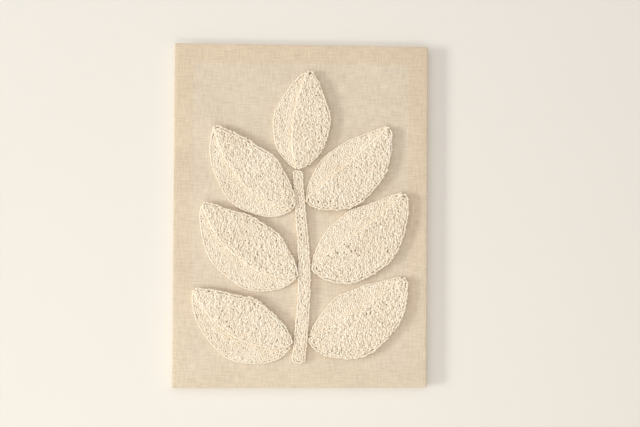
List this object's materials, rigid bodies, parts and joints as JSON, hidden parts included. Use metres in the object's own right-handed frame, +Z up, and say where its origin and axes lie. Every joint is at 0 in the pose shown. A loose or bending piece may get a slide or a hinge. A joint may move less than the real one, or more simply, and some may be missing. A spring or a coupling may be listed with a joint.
{
  "type": "punch needle wall piece on its stretcher frame",
  "caption": "Linen stretched over a mitred wooden frame, with a leafy sprig in cream loop pile of low and high loops, hung flat on a wall.",
  "frame": {"origin": "on the wall side of the cloth's folded return, at the middle of the top bar", "axes": "+Y into the wall, so the pile faces -Y; +X to the right as seen from the front; +Z up, along the long side"},
  "size_m": [0.6, 0.037, 0.81],
  "materials": {
    "linen": "plain woven linen, undyed, with slubs",
    "pine": "planed softwood, bare",
    "wool": "undyed cream wool yarn in uncut loops"
  },
  "bodies": {
    "root": {"ground_cloth": "linen", "bar_top": "pine", "bar_right": "pine", "bar_bottom": "pine", "bar_left": "pine", "stem_pile": "wool", "stem_back": "wool", "leaf_1_low": "wool", "leaf_1_high": "wool", "leaf_1_back": "wool", "leaf_2_low": "wool", "leaf_2_high": "wool", "leaf_2_back": "wool", "leaf_3_low": "wool", "leaf_3_high": "wool", "leaf_3_back": "wool", "leaf_4_low": "wool", "leaf_4_high": "wool", "leaf_4_back": "wool", "leaf_5_low": "wool", "leaf_5_high": "wool", "leaf_5_back": "wool", "leaf_6_low": "wool", "leaf_6_high": "wool", "leaf_6_back": "wool", "leaf_7_low": "wool", "leaf_7_high": "wool", "leaf_7_back": "wool"}
  },
  "joints": []
}
